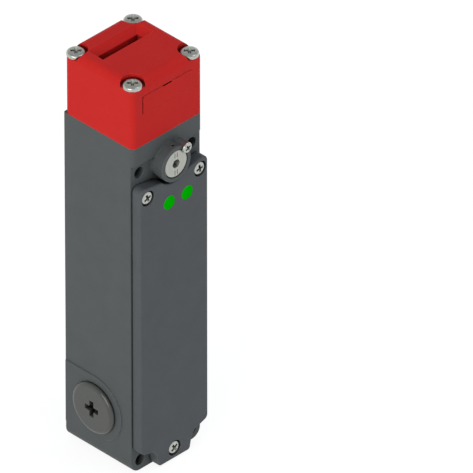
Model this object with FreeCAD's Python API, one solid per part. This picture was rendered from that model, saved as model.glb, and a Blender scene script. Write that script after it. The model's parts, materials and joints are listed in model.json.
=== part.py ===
import FreeCAD, Part
import math
import os

os.makedirs("parts", exist_ok=True)
V = FreeCAD.Vector

# A guard-locking switch with a solenoid, for a machine door. Millimetres.
# x runs to the right seen from the front, the front looks along -y, z is up.
# Heights are measured from the bottom face and depths from the back face. save() then lowers
# every piece, so that the origin lies on the back face, in the middle of the four fixing holes.

# Housing
body_width = 40.0
body_depth = 40.0
body_height = 163.0
side_wall = 3.0
back_wall = 3.0
floor_wall = 10.0
sill_height = 14.5
edge_round = 2.2
back_round = 0.6
foot_round = 4.8
brow_round = 0.8
core_round = 2.0
seat_step = 1.5
seat_top = 153.6
front_lip = 4.5
chamber_width = 22.0
chamber_bottom = 130.0
chamber_front_wall = 4.0
cavity_top = 133.0
window_top = 136.0

# Fixing holes, right through the housing
hole_pitch_x = 30.0
hole_pitch_z = 144.0
hole_height = 5.2
hole_diameter = 5.3

# Fits
gasket_thickness = 0.5
gasket_inset = 0.35
skirt_wall = 1.0
thread_gap = 0.05
running_gap = 0.1
small_gap = 0.3

# Cover
cover_bottom = 0.9
cover_top = 144.0
cover_proud = 3.8
cover_front_wall = 2.5
cover_edge = 0.7
cover_side_inset = 0.7
cover_corner = 2.7
cover_top_slope = 0.16
dial_relief = 1.3
notch_radius = 5.2
notch_rise = 1.5
notch_corner = 2.5
tab_taper = 11.0
tab_corner = 1.5
cover_screw_height = 138.8
tab_screw_height = 6.0
cover_screw_seat = 2.3

# Screws: head diameter, head height, shank diameter
clamp_screw = (5.6, 2.0, 3.0)
m2_screw = (3.8, 1.2, 2.0)
m3_screw = (6.2, 2.1, 3.0)
m4_screw = (8.0, 2.6, 4.0)
lock_screw = (4.8, 1.5, 2.0)
screw_dome_share = 0.45
recess_share = 0.58
recess_depth_share = 0.6
cover_screw_length = 10.0
counterbore_extra = 1.0
head_screw_inset = 3.7
head_screw_drop = 3.15
head_screw_grip = 8.5
head_counterbore = 10.2

# Cable entries, M20 x 1.5
entry_bore = 18.5
entry_height = 23.9
entry_from_back = 17.9
entry_boss = 25.0
entry_boss_depth = 3.0
knock_out_wall = 1.0
pad_radius = 15.3
pad_proud = 0.45
plug_flange = 23.8
plug_flange_thickness = 1.5
plug_length = 7.5
plug_cross = 7.8
plug_cross_width = 2.4
plug_cross_depth = 3.0

# Actuator head
head_height = 31.35
head_back_round = 3.5
head_top_round = 4.0
head_hollow_width = 24.0
hollow_gap = 1.4
funnel_length = 28.6
funnel_width = 9.2
funnel_depth = 3.0
key_slot_from_back = 12.7
key_slot_height = 19.0
plug_slit_length = 6.0
plug_slit_width = 0.7
plug_slit_depth = 1.5
plug_gap = 0.1
plug_tongue = 4.0

# Key rotor and plunger
axis_from_back = 20.2
rotor_rise = 12.5
rotor_radius = 10.8
rotor_width = 13.0
cam_steps = 10
cam_run_out = 9.5
cam_end = 25.0
rotor_turn = 55.0
rotor_notch_extra = 0.4
rotor_notch_floor = 1.0
shaft_diameter = 5.0
plunger_diameter = 6.0
plunger_travel = 5.0
plunger_tail = 4.4
tail_length = 2.4
collar_diameter = 10.0
collar_thickness = 2.0
collar_drop = 13.0
carrier_plate = 1.2
carrier_depth = 23.4
bushing_length = 5.0
bushing_wall = 1.9
post_thickness = 2.7
post_depth = 7.4

# Lock lever, turned to its free position at rest
lever_turn = 18.0
lever_pivot_drop = 19.5
lever_arm = 9.3
lever_width = 6.0
lever_plate = 3.0
lever_pin_diameter = 3.0
lever_hub = 5.2
nose_gap = 0.5
ear_length = 3.5
ear_thickness = 2.4
tine_width = 1.8
tine_thickness = 2.4
link_pin_diameter = 2.0
link_flat_width = 4.0
link_slot_play = 0.15
link_slide = 0.6
link_flat_rim = 1.0
cheek_inside = 9.0
cheek_thickness = 2.0
cheek_depth = 5.4
cheek_foot = 2.6

# Manual release
dial_height = 149.3
dial_diameter = 13.0
dial_thickness = 2.6
dial_sunk = 0.3
dial_hex = 4.0
dial_hex_depth = 2.0
dial_slot_width = 1.3
dial_slot_depth = 0.3
dial_slot_start = 1.0
dial_slot_end = 6.2
boss_diameter = 16.6
boss_proud = 5.2
boss_round = 0.4
release_shaft = 8.0
release_pin_diameter = 2.0
release_pin_throw = 2.2
release_pin_length = 2.0
release_pin_seat = 3.0
clip_diameter = 11.0
clip_thickness = 0.7
clip_groove = 6.8
seal_cord = 1.4
wire_hole = 1.3
wire_hole_depth = 2.6
wire_hole_back = 2.2
lock_screw_radius = 8.0
lock_screw_angle = 49.0
lock_screw_length = 5.0
lock_ear = 4.6

# Solenoid
solenoid_bottom = 82.0
solenoid_height = 44.0
frame_width = 30.0
frame_depth = 22.0
frame_sheet = 2.0
frame_tab_width = 7.0
frame_tab_height = 6.7
frame_tab_x = 10.5
frame_screw_height = 3.5
mount_boss = 6.0
mount_boss_height = 2.0
mount_screw_length = 5.5
bobbin_flange = 24.4
bobbin_flange_thickness = 1.5
bobbin_wall = 1.15
winding_diameter = 23.2
armature_diameter = 9.8
armature_neck = 5.0
armature_shoulder = 8.0
armature_collar = 15.0
armature_collar_thickness = 1.2
pole_height = 15.0
pole_rivet = 6.0
air_gap = 0.4
armature_spring_mean = 12.4
armature_spring_wire = 0.8
armature_spring_turns = 4.0

# Switch rod
rod_width = 8.0
rod_sheet = 1.2
rod_from_wall = 0.5
foot_sheet = 1.4
foot_reach = 2.3
rod_tab_reach = 12.3

# Contact block
block_bottom = 37.0
block_top = 72.5
block_width = 31.0
block_front = 31.0
block_floor = 1.5
slider_width = 7.0
slider_depth = 10.0
slider_rise = 0.5
slider_gap = 0.15
slider_foot = 1.5
contact_heights = (52.0, 62.0)
bridge_length = 19.0
bridge_width = 5.0
bridge_sheet = 0.5
bridge_window = 2.0
bridge_room = 0.7
rivet_diameter = 3.0
bridge_rivet = 0.3
fixed_rivet = 0.5
contact_gap_left = 0.1
contact_x = 8.0
strip_inner = 5.5
strip_outer = 13.5
strip_sheet = 1.0
strip_inner_depth = 14.8
strip_room = 0.1
terminal_tab_inner = 7.5
terminal_tab_height = 8.9
terminal_screw_drop = 5.0
terminal_screw_length = 6.0
block_screw_x = 12.6
block_screw_height = 40.6
return_spring_mean = 4.0
return_spring_wire = 0.6
return_spring_turns = 5.0
return_spring_bore = 5.2
return_spring_room = 10.0

# Indicator lamps
window_diameter = 6.3
window_lip = 8.2
window_lip_thickness = 0.8
window_height = 130.8
window_x = (-2.8, 7.5)
board_left = -12.0
board_right = 16.3
board_bottom = 123.8
board_top = 132.2
board_sheet = 1.2
board_post = 4.0
board_post_drop = 2.7
board_post_x = (-9.5, 14.2)
board_screw_length = 3.0
led_diameter = 3.0
led_height = 1.6

# Earth terminal
earth_height = 29.0
earth_boss = 8.0
earth_screw_length = 3.4

# Places worked out from the sizes above
half_width = body_width / 2
front_y = -body_depth
seat_y = front_y + seat_step
cover_back_y = seat_y - gasket_thickness
cover_front_y = front_y - cover_proud
cover_floor_y = cover_front_y + cover_front_wall
cover_half = half_width - cover_side_inset
cavity_half = half_width - side_wall
chamber_half = chamber_width / 2
chamber_front_y = seat_y + chamber_front_wall
head_bottom = body_height
head_seat = body_height + gasket_thickness
head_top = head_bottom + head_height
axis_y = -axis_from_back
entry_y = -entry_from_back
rotor_z = body_height + rotor_rise
key_slot_y = -key_slot_from_back
front_slot_z = body_height + key_slot_height + gasket_thickness
slot_length = funnel_length - 2 * funnel_depth
slot_width = funnel_width - 2 * funnel_depth
hole_x = hole_pitch_x / 2
hole_rows = (hole_height, hole_height + hole_pitch_z)
origin_height = hole_height + hole_pitch_z / 2
foot_height = floor_wall - knock_out_wall
plunger_top = rotor_z - rotor_radius - small_gap
post_inner = head_hollow_width / 2 + small_gap
post_outer = post_inner + post_thickness
shaft_length = 2 * post_outer
collar_bottom = body_height - collar_drop
collar_top = collar_bottom + collar_thickness
plunger_bottom = collar_bottom - tail_length
pivot_y = axis_y - lever_arm
pivot_z = body_height - lever_pivot_drop
boss_front_y = front_y - boss_proud
dial_front_y = boss_front_y + dial_sunk
dial_back_y = dial_front_y + dial_thickness
release_end_y = chamber_front_y + running_gap + clip_thickness + small_gap
mount_y = -back_wall - mount_boss_height
solenoid_top = solenoid_bottom + solenoid_height
frame_front_y = axis_y - frame_depth / 2
frame_back_y = axis_y + frame_depth / 2
frame_screw_rows = (solenoid_bottom - frame_screw_height, solenoid_top + frame_screw_height)
armature_stroke = lever_arm * math.sin(math.radians(lever_turn))
armature_bottom = solenoid_bottom + frame_sheet + pole_height + armature_stroke + air_gap
rod_back_y = -back_wall - rod_from_wall
rod_front_y = rod_back_y - rod_sheet
slider_top = block_top + slider_rise
slider_bottom = block_bottom + block_floor + slider_foot
terminal_y = -block_front


def block(x0, x1, y0, y1, z0, z1):
    return Part.makeBox(x1 - x0, y1 - y0, z1 - z0, V(x0, y0, z0))


def rod_x(y, z, diameter, x0, x1):
    return Part.makeCylinder(diameter / 2, x1 - x0, V(x0, y, z), V(1, 0, 0))


def rod_y(x, z, diameter, y0, y1):
    return Part.makeCylinder(diameter / 2, y1 - y0, V(x, y0, z), V(0, 1, 0))


def rod_z(x, y, diameter, z0, z1):
    return Part.makeCylinder(diameter / 2, z1 - z0, V(x, y, z0), V(0, 0, 1))


def join(shapes):
    return shapes[0].multiFuse(shapes[1:]).removeSplitter()


def edges_where(shape, test):
    chosen = []
    for edge in shape.Edges:
        box = edge.BoundBox
        if test(box):
            chosen.append(edge)
    return chosen


def upright(x, y):
    def test(box):
        return abs(box.XMin - x) + abs(box.XMax - x) + abs(box.YMin - y) + abs(box.YMax - y) < 0.01
    return test


def along_y(x, z):
    def test(box):
        return abs(box.XMin - x) + abs(box.XMax - x) + abs(box.ZMin - z) + abs(box.ZMax - z) < 0.01
    return test


def in_plane_z(z):
    return lambda box: abs(box.ZMin - z) + abs(box.ZMax - z) < 0.01


def in_plane_y(y):
    return lambda box: abs(box.YMin - y) + abs(box.YMax - y) < 0.01


def rounded(shape, radius, tests):
    chosen = []
    for test in tests:
        chosen += edges_where(shape, test)
    return shape.makeFillet(radius, chosen)


def save(name, shape):
    moved = shape.copy()
    moved.translate(V(0, 0, -origin_height))
    moved.exportStep("parts/" + name + ".step")


def cross_recess(size, depth):
    arm = size / 4
    bars = [block(-size / 2, size / 2, -arm / 2, arm / 2, -depth, 1),
            block(-arm / 2, arm / 2, -size / 2, size / 2, -depth, 1)]
    return join(bars)


def pan_screw(kind, length):
    """A cross-recess screw that stands on its tip along z, with its seat at z = 0."""
    head_diameter, head_rise, shank_diameter = kind
    head = Part.makeCylinder(head_diameter / 2, head_rise)
    head = rounded(head, head_rise * screw_dome_share, [in_plane_z(head_rise)])
    shank = Part.makeCylinder(shank_diameter / 2 - thread_gap, length, V(0, 0, -length))
    recess = cross_recess(head_diameter * recess_share, head_rise * recess_depth_share)
    recess.translate(V(0, 0, head_rise))
    return join([head, shank]).cut(recess)


def facing(shape, direction, x, y, z):
    placed = shape.copy()
    if direction == "front":
        placed.rotate(V(0, 0, 0), V(1, 0, 0), 90)
    if direction == "back":
        placed.rotate(V(0, 0, 0), V(1, 0, 0), -90)
    placed.translate(V(x, y, z))
    return placed


def coil_spring(x, y, z0, z1, mean_diameter, wire, turns):
    rise = z1 - z0 - wire
    helix = Part.makeHelix(rise / turns, rise, mean_diameter / 2)
    start = V(mean_diameter / 2, 0, 0)
    section = Part.Wire(Part.Circle(start, V(0, 1, 0), wire / 2).toShape())
    spring = Part.Wire(helix.Edges).makePipeShell([section], True, True)
    spring.translate(V(x, y, z0 + wire / 2))
    return spring


def both_sides(x):
    return (-x, x)


def mount_points():
    """Bosses on the inside of the back wall, as x, z, boss diameter and tapped diameter."""
    points = [(x, z, mount_boss, m3_screw[2]) for x in both_sides(frame_tab_x) for z in frame_screw_rows]
    points += [(x, block_screw_height, mount_boss, m3_screw[2]) for x in both_sides(block_screw_x)]
    points += [(0, earth_height, earth_boss, m4_screw[2])]
    return points


def lock_screw_place():
    angle = math.radians(lock_screw_angle)
    return lock_screw_radius * math.cos(angle), dial_height + lock_screw_radius * math.sin(angle)


def cavity_core(y0, y1):
    """The hollow behind the cover, from y0 back to y1."""
    wide = block(-cavity_half, cavity_half, y0, y1, sill_height, cavity_top)
    corners = [along_y(x, z) for x in both_sides(cavity_half) for z in (sill_height, cavity_top)]
    wide = rounded(wide, core_round, corners)
    neck = block(-chamber_half, chamber_half, y0, y1, cavity_top - core_round, window_top)
    return join([wide, neck])


def brow_edges(box):
    """The edges where the front face stops above the cover."""
    level = abs(box.ZMin - seat_top) + abs(box.ZMax - seat_top) < 0.01
    return level and box.YMin < seat_y - 0.01


def housing_outside():
    shell = block(-half_width, half_width, front_y, 0, 0, body_height)
    shell = rounded(shell, foot_round, [along_y(x, 0) for x in both_sides(half_width)])
    shell = rounded(shell, back_round, [upright(x, 0) for x in both_sides(half_width)])
    shell = rounded(shell, edge_round, [upright(x, front_y) for x in both_sides(half_width)])
    step = block(-half_width - 1, half_width + 1, front_y - 1, seat_y, -1, seat_top)
    shell = rounded(shell.cut(step), brow_round, [brow_edges])
    boss = rod_y(0, dial_height, boss_diameter, boss_front_y, seat_y + 1)
    boss = rounded(boss, boss_round, [in_plane_y(boss_front_y)])
    ear_x, ear_z = lock_screw_place()
    ear = rod_y(ear_x, ear_z, lock_ear, boss_front_y, seat_y + 1)
    pads = []
    for side in both_sides(1):
        face, proud = side * half_width, side * (half_width + pad_proud)
        x0, x1 = min(face - side, proud), max(face - side, proud)
        pads.append(block(x0, x1, entry_y, -back_round, entry_height - pad_radius, entry_height + pad_radius))
        pads.append(rod_x(entry_y, entry_height, 2 * pad_radius, x0, x1))
    return join([shell, boss, ear] + pads)


def housing_casting():
    shell = housing_outside()
    sump = block(-cavity_half, cavity_half, seat_y + front_lip, -back_wall,
                 floor_wall, sill_height + core_round)
    sump = rounded(sump, core_round, [along_y(x, floor_wall) for x in both_sides(cavity_half)])
    chamber = block(-chamber_half, chamber_half, chamber_front_y, -back_wall, chamber_bottom, body_height)
    shell = shell.cut(join([cavity_core(seat_y, -back_wall), sump, chamber]))
    added, taken = [], []
    for side in both_sides(1):
        inner, outer = side * (cavity_half - entry_boss_depth), side * (half_width + pad_proud)
        added.append(rod_x(entry_y, entry_height, entry_boss, *sorted((inner, side * (half_width - 1)))))
        taken.append(rod_x(entry_y, entry_height, entry_bore, *sorted((inner, outer))))
    for x, z, boss, tapped in mount_points():
        added.append(rod_y(x, z, boss, mount_y, -back_wall / 2))
        taken.append(rod_y(x, z, tapped, mount_y, -back_wall / 2))
    shell = join([shell] + added)
    taken.append(rod_z(0, entry_y, entry_bore, 0, foot_height))
    for x in both_sides(hole_x):
        taken += [rod_y(x, z, hole_diameter, seat_y, 0) for z in hole_rows]
        taken.append(rod_y(x, cover_screw_height, m3_screw[2], seat_y, seat_y + cover_screw_length))
    taken.append(rod_y(0, tab_screw_height, m3_screw[2], seat_y, seat_y + cover_screw_length))
    for x in both_sides(half_width - head_screw_inset):
        for y in (-head_screw_inset, front_y + head_screw_inset):
            taken.append(rod_z(x, y, m4_screw[2], body_height - head_screw_grip - 1, body_height))
    taken.append(rod_y(0, dial_height, dial_diameter + 2 * running_gap, boss_front_y, dial_back_y))
    taken.append(rod_y(0, dial_height, release_shaft + 2 * running_gap, boss_front_y, chamber_front_y))
    taken.append(rod_y(0, dial_height, release_shaft + 2 * seal_cord, dial_back_y, dial_back_y + seal_cord))
    screw_x, screw_z = lock_screw_place()
    taken.append(rod_y(screw_x, screw_z, lock_screw[2], boss_front_y, boss_front_y + lock_screw_length))
    wire_top = dial_height + boss_diameter / 2
    taken.append(rod_z(0, boss_front_y + wire_hole_back, wire_hole, wire_top - wire_hole_depth, wire_top))
    return shell.cut(join(taken))


def lower_end():
    return block(-body_width, body_width, -2 * body_depth, body_depth, -foot_height, foot_height)


def housing_body():
    return housing_casting().cut(lower_end())


def housing_foot():
    """The casting's end below the cavity floor, which holds the bottom cable entry."""
    return housing_casting().common(lower_end())


def cover_outline():
    """The cover's outline seen from the front, as a face in the plane y = 0."""
    relief = boss_diameter / 2 + dial_relief
    low = cover_top - cover_top_slope * (cover_half - cover_corner) - dial_height
    square, linear = 1 + cover_top_slope ** 2, cover_top_slope * low
    meet_x = (math.sqrt(linear ** 2 - square * (low ** 2 - relief ** 2)) - linear) / square
    meet_z = dial_height + low + cover_top_slope * meet_x
    notch_slant, corner_slant = notch_radius * math.sqrt(0.5), cover_corner * (1 - math.sqrt(0.5))
    taper, notch_top = math.radians(tab_taper), hole_height + notch_radius
    notch_x, notch_z = hole_x - notch_radius * math.cos(taper), hole_height + notch_radius * math.sin(taper)
    tab_x, side_z = notch_x - math.tan(taper) * (notch_z - cover_bottom), notch_top + notch_rise
    halves = []
    for side in both_sides(1):
        points = [(0, cover_bottom), (tab_x, cover_bottom), (notch_x, notch_z),
                  (hole_x - notch_slant, hole_height + notch_slant), (hole_x, notch_top),
                  (cover_half, side_z), (cover_half, cover_top - cover_corner),
                  (cover_half - corner_slant, cover_top - corner_slant),
                  (cover_half - cover_corner, cover_top), (meet_x, meet_z)]
        at = [V(side * x, 0, z) for x, z in points]
        halves.append([Part.makeLine(at[0], at[1]), Part.makeLine(at[1], at[2]),
                       Part.Arc(at[2], at[3], at[4]).toShape(), Part.makeLine(at[4], at[5]),
                       Part.makeLine(at[5], at[6]), Part.Arc(at[6], at[7], at[8]).toShape(),
                       Part.makeLine(at[8], at[9])])
    relief_arc = Part.Arc(V(-meet_x, 0, meet_z), V(0, 0, dial_height - relief), V(meet_x, 0, meet_z))
    ordered = Part.sortEdges(halves[0] + halves[1] + [relief_arc.toShape()])[0]
    slab = Part.Face(Part.Wire(ordered)).extrude(V(0, 1, 0))
    slab = rounded(slab, tab_corner, [along_y(x, cover_bottom) for x in both_sides(tab_x)])
    slab = rounded(slab, notch_corner, [along_y(x, side_z) for x in both_sides(cover_half)])
    return [face for face in slab.Faces if in_plane_y(0)(face.BoundBox)][0]


def cover_plate(y0, y1, inset):
    outline = cover_outline()
    if inset:
        outline = outline.makeOffset2D(-inset)
    plate = outline.extrude(V(0, y1 - y0, 0))
    plate.translate(V(0, y0, 0))
    return plate


def cover_screw_points():
    points = [(x, cover_screw_height) for x in both_sides(hole_x)]
    return points + [(0, tab_screw_height)]


def front_cover():
    cover = cover_plate(cover_front_y, cover_back_y, 0)
    cover = rounded(cover, cover_edge, [in_plane_y(cover_front_y)])
    taken = [cavity_core(cover_floor_y, cover_back_y)]
    for x, z in cover_screw_points():
        seat = cover_front_y + cover_screw_seat
        taken.append(rod_y(x, z, m3_screw[0] + counterbore_extra, cover_front_y, seat))
        taken.append(rod_y(x, z, m3_screw[2] + counterbore_extra / 2, cover_front_y, cover_back_y))
    taken += [rod_y(x, window_height, window_diameter + thread_gap, cover_front_y, cover_floor_y)
              for x in window_x]
    cover = cover.cut(join(taken))
    end_y = cover_floor_y + board_post_drop
    posts = [rod_y(x, window_height, board_post, cover_floor_y, end_y) for x in board_post_x]
    holes = [rod_y(x, window_height, m2_screw[2], end_y - board_screw_length, end_y) for x in board_post_x]
    return join([cover] + posts).cut(join(holes))


def cover_gasket():
    ring = cover_plate(cover_back_y, seat_y, gasket_inset)
    holes = [rod_y(x, z, m3_screw[2] + counterbore_extra / 2, cover_back_y, seat_y)
             for x, z in cover_screw_points()]
    return ring.cut(join([cavity_core(cover_back_y, seat_y)] + holes))


def cover_screws():
    seat = cover_front_y + cover_screw_seat
    length = seat_y - seat + cover_screw_length - 1
    return Part.makeCompound([facing(pan_screw(m3_screw, length), "front", x, seat, z)
                              for x, z in cover_screw_points()])


def funnel(length_add, width_add):
    """The key's lead-in, a pyramid with its wide end at z = 0 and its slot below."""
    top = Part.makePlane(funnel_length + length_add, funnel_width + width_add,
                         V(-(funnel_length + length_add) / 2, -(funnel_width + width_add) / 2, 0))
    low = Part.makePlane(slot_length + length_add, slot_width + width_add,
                         V(-(slot_length + length_add) / 2, -(slot_width + width_add) / 2, -funnel_depth))
    return Part.makeLoft([top.OuterWire, low.OuterWire], True)


def key_passage(depth):
    slot = block(-slot_length / 2, slot_length / 2, -slot_width / 2, slot_width / 2, -depth, -funnel_depth)
    return join([funnel(0, 0), slot])


def carrier_room(z0, z1):
    half = post_outer + small_gap
    reach = carrier_depth / 2 + small_gap
    return block(-half, half, axis_y - reach, axis_y + reach, z0, z1)


def head_hollow():
    radius = rotor_radius + hollow_gap
    half = head_hollow_width / 2
    round_top = rod_x(axis_y, rotor_z, 2 * radius, -half, half)
    well = block(-half, half, axis_y - radius, axis_y + radius, head_bottom, rotor_z)
    arch_half = post_outer + small_gap
    pocket = block(-arch_half, arch_half, axis_y - post_depth / 2 - small_gap,
                   axis_y + post_depth / 2 + small_gap, head_bottom, rotor_z)
    bearing = rod_x(axis_y, rotor_z, shaft_diameter, -arch_half, arch_half)
    return join([round_top, well, pocket, bearing, carrier_room(head_bottom, body_height + carrier_plate)])


def head_screw_points():
    return [(x, y) for x in both_sides(half_width - head_screw_inset)
            for y in (-head_screw_inset, front_y + head_screw_inset)]


def actuator_head():
    head = block(-half_width, half_width, front_y, 0, head_bottom, head_top)
    head = rounded(head, edge_round, [upright(x, front_y) for x in both_sides(half_width)])
    head = rounded(head, head_back_round, [upright(x, 0) for x in both_sides(half_width)])
    head = rounded(head, head_top_round, [in_plane_z(head_top)])
    top_way = facing(key_passage(head_top - rotor_z - rotor_notch_floor), "up", 0, key_slot_y, head_top)
    front_way = facing(key_passage(body_depth - axis_from_back), "front", 0, front_y, front_slot_z)
    taken = [head_hollow(), top_way, front_way, gasket_sheet()]
    for x, y in head_screw_points():
        taken.append(rod_z(x, y, head_counterbore, head_top - head_screw_drop, head_top))
        taken.append(rod_z(x, y, m4_screw[2] + 2 * thread_gap, head_bottom, head_top))
    return head.cut(join(taken))


def gasket_sheet():
    half = half_width - skirt_wall
    sheet = block(-half, half, front_y + skirt_wall, -skirt_wall, head_bottom, head_seat)
    sheet = rounded(sheet, edge_round, [upright(x, front_y + skirt_wall) for x in both_sides(half)])
    return rounded(sheet, head_back_round, [upright(x, -skirt_wall) for x in both_sides(half)])


def head_gasket():
    opening = block(-post_outer - small_gap, post_outer + small_gap,
                    axis_y - rotor_radius - hollow_gap, axis_y + rotor_radius + hollow_gap,
                    head_bottom, head_seat)
    holes = [rod_z(x, y, m4_screw[2] + 2 * thread_gap, head_bottom, head_seat)
             for x, y in head_screw_points()]
    return gasket_sheet().cut(join([opening, carrier_room(head_bottom, head_seat)] + holes))


def head_screws():
    seat = head_top - head_screw_drop
    length = seat - body_height + head_screw_grip
    return Part.makeCompound([facing(pan_screw(m4_screw, length), "up", x, y, seat)
                              for x, y in head_screw_points()])


def front_slot_plug():
    plate = funnel(-2 * plug_gap, -2 * plug_gap)
    tongue = block(-slot_length / 2 + plug_gap, slot_length / 2 - plug_gap, -slot_width / 2 + plug_gap,
                   slot_width / 2 - plug_gap, -funnel_depth - plug_tongue, -funnel_depth)
    slit = block(-plug_slit_length / 2, plug_slit_length / 2, funnel_width / 2 - plug_slit_width - plug_gap,
                 funnel_width / 2, -plug_slit_depth, 0)
    return facing(join([plate, tongue]).cut(slit), "front", 0, front_y, front_slot_z)


def conduit_plug(side):
    seat = half_width + pad_proud + gasket_thickness
    flange = Part.makeCylinder(plug_flange / 2, plug_flange_thickness)
    flange = rounded(flange, plug_flange_thickness * 0.6, [in_plane_z(plug_flange_thickness)])
    neck = Part.makeCylinder(entry_bore / 2 - thread_gap, plug_length, V(0, 0, -plug_length))
    hollow = Part.makeCylinder(entry_bore / 2 - side_wall, plug_length - side_wall, V(0, 0, -plug_length))
    long_half, short_half = plug_cross / 2, plug_cross_width / 2
    cross = join([block(-long_half, long_half, -short_half, short_half, 0, plug_cross_depth),
                  block(-short_half, short_half, -long_half, long_half, 0, plug_cross_depth)])
    cross.translate(V(0, 0, plug_flange_thickness - plug_cross_depth))
    plug = join([flange, neck]).cut(join([hollow, cross]))
    plug.rotate(V(0, 0, 0), V(0, 1, 0), side * 90)
    plug.translate(V(side * seat, entry_y, entry_height))
    return plug


def plug_seals():
    rings = []
    for side in both_sides(1):
        face = side * (half_width + pad_proud)
        x0, x1 = sorted((face, face + side * gasket_thickness))
        ring = rod_x(entry_y, entry_height, plug_flange - 2 * gasket_inset, x0, x1)
        rings.append(ring.cut(rod_x(entry_y, entry_height, entry_bore, x0, x1)))
    return Part.makeCompound(rings)


def led_window(x):
    barrel = rod_y(x, window_height, window_diameter, cover_front_y, cover_floor_y)
    lip = rod_y(x, window_height, window_lip, cover_floor_y, cover_floor_y + window_lip_thickness)
    return join([barrel, lip])


def release_dial():
    disc = rod_y(0, dial_height, dial_diameter, dial_front_y, dial_back_y)
    disc = rounded(disc, dial_sunk, [in_plane_y(dial_front_y)])
    shaft = rod_y(0, dial_height, release_shaft, dial_back_y, release_end_y)
    groove_y = chamber_front_y + running_gap
    groove = rod_y(0, dial_height, release_shaft + 1, groove_y, groove_y + clip_thickness)
    groove = groove.cut(rod_y(0, dial_height, clip_groove, groove_y, groove_y + clip_thickness))
    across = dial_hex / math.cos(math.radians(30)) / 2
    corners = [V(across * math.cos(math.radians(60 * n)), 0, across * math.sin(math.radians(60 * n)))
               for n in range(7)]
    socket = Part.Face(Part.makePolygon(corners)).extrude(V(0, dial_hex_depth, 0))
    socket.translate(V(0, dial_front_y, dial_height))
    slots = []
    for side in both_sides(1):
        start, end = sorted((side * (dial_hex / 2 + dial_slot_start), side * dial_slot_end))
        slots.append(block(-dial_slot_width / 2, dial_slot_width / 2, dial_front_y,
                           dial_front_y + dial_slot_depth, dial_height + start, dial_height + end))
    seat = rod_y(release_pin_throw, dial_height, release_pin_diameter,
                 release_end_y - release_pin_seat, release_end_y)
    return join([disc, shaft]).cut(join([groove, socket, seat] + slots))


def release_pin():
    return rod_y(release_pin_throw, dial_height, release_pin_diameter, release_end_y - release_pin_seat,
                 release_end_y + release_pin_length)


def release_clip():
    start = chamber_front_y + running_gap
    ring = rod_y(0, dial_height, clip_diameter, start, start + clip_thickness)
    mouth = block(-clip_groove / 2, clip_groove / 2, start, start + clip_thickness,
                  dial_height, dial_height + clip_diameter)
    return ring.cut(join([rod_y(0, dial_height, clip_groove, start, start + clip_thickness), mouth]))


def release_seal():
    ring = Part.makeTorus(release_shaft / 2 + seal_cord / 2, seal_cord / 2 - thread_gap,
                          V(0, dial_back_y + seal_cord / 2, dial_height), V(0, 1, 0))
    return ring


def release_lock_screw():
    x, z = lock_screw_place()
    return facing(pan_screw(lock_screw, lock_screw_length - 0.5), "front", x, boss_front_y, z)


def plunger_cam():
    """What the rotor gives up so that its plunger rises evenly as it turns."""
    outside = rotor_radius + 2
    rise = plunger_travel / math.radians(rotor_turn)
    offset = plunger_diameter / 2 + small_gap
    start_radius = rotor_radius + offset
    points = []
    for step in range(cam_steps + 1):
        turned = math.radians((rotor_turn + cam_run_out) * step / cam_steps)
        radius = start_radius - rise * turned
        angle = turned - math.pi / 2
        length = math.hypot(radius, rise)
        out_along, out_across = radius / length, rise / length
        reach, side = radius - offset * out_along, -offset * out_across
        points.append(V(0, reach * math.cos(angle) - side * math.sin(angle),
                        reach * math.sin(angle) + side * math.cos(angle)))
    flank = Part.BSplineCurve()
    flank.interpolate(points)
    last = math.radians(rotor_turn + cam_end - 90)
    floor_radius = points[-1].Length
    first = math.atan2(points[0].z, points[0].y)
    floor_end = V(0, floor_radius * math.cos(last), floor_radius * math.sin(last))
    rim_end = V(0, outside * math.cos(last), outside * math.sin(last))
    rim_middle = V(0, outside * math.cos((first + last) / 2), outside * math.sin((first + last) / 2))
    rim_start = V(0, outside * math.cos(first), outside * math.sin(first))
    edges = [flank.toShape(), Part.makeLine(points[-1], floor_end), Part.makeLine(floor_end, rim_end),
             Part.Arc(rim_end, rim_middle, rim_start).toShape(), Part.makeLine(rim_start, points[0])]
    cut = Part.Face(Part.Wire(edges)).extrude(V(rotor_width + 2, 0, 0))
    cut.translate(V(-rotor_width / 2 - 1, axis_y, rotor_z))
    return cut


def key_rotor():
    half = rotor_width / 2
    wheel = rod_x(axis_y, rotor_z, 2 * rotor_radius, -half, half)
    bore = rod_x(axis_y, rotor_z, shaft_diameter + running_gap, -half, half)
    mouth = slot_width / 2 + rotor_notch_extra
    top_notch = block(-half, half, key_slot_y - mouth, key_slot_y + mouth,
                      rotor_z + rotor_notch_floor, rotor_z + rotor_radius)
    front_notch = block(-half, half, axis_y - rotor_radius, axis_y - rotor_notch_floor,
                        front_slot_z - mouth, front_slot_z + mouth)
    return wheel.cut(join([bore, top_notch, front_notch, plunger_cam()]))


def rotor_shaft():
    return rod_x(axis_y, rotor_z, shaft_diameter, -shaft_length / 2, shaft_length / 2)


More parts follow.
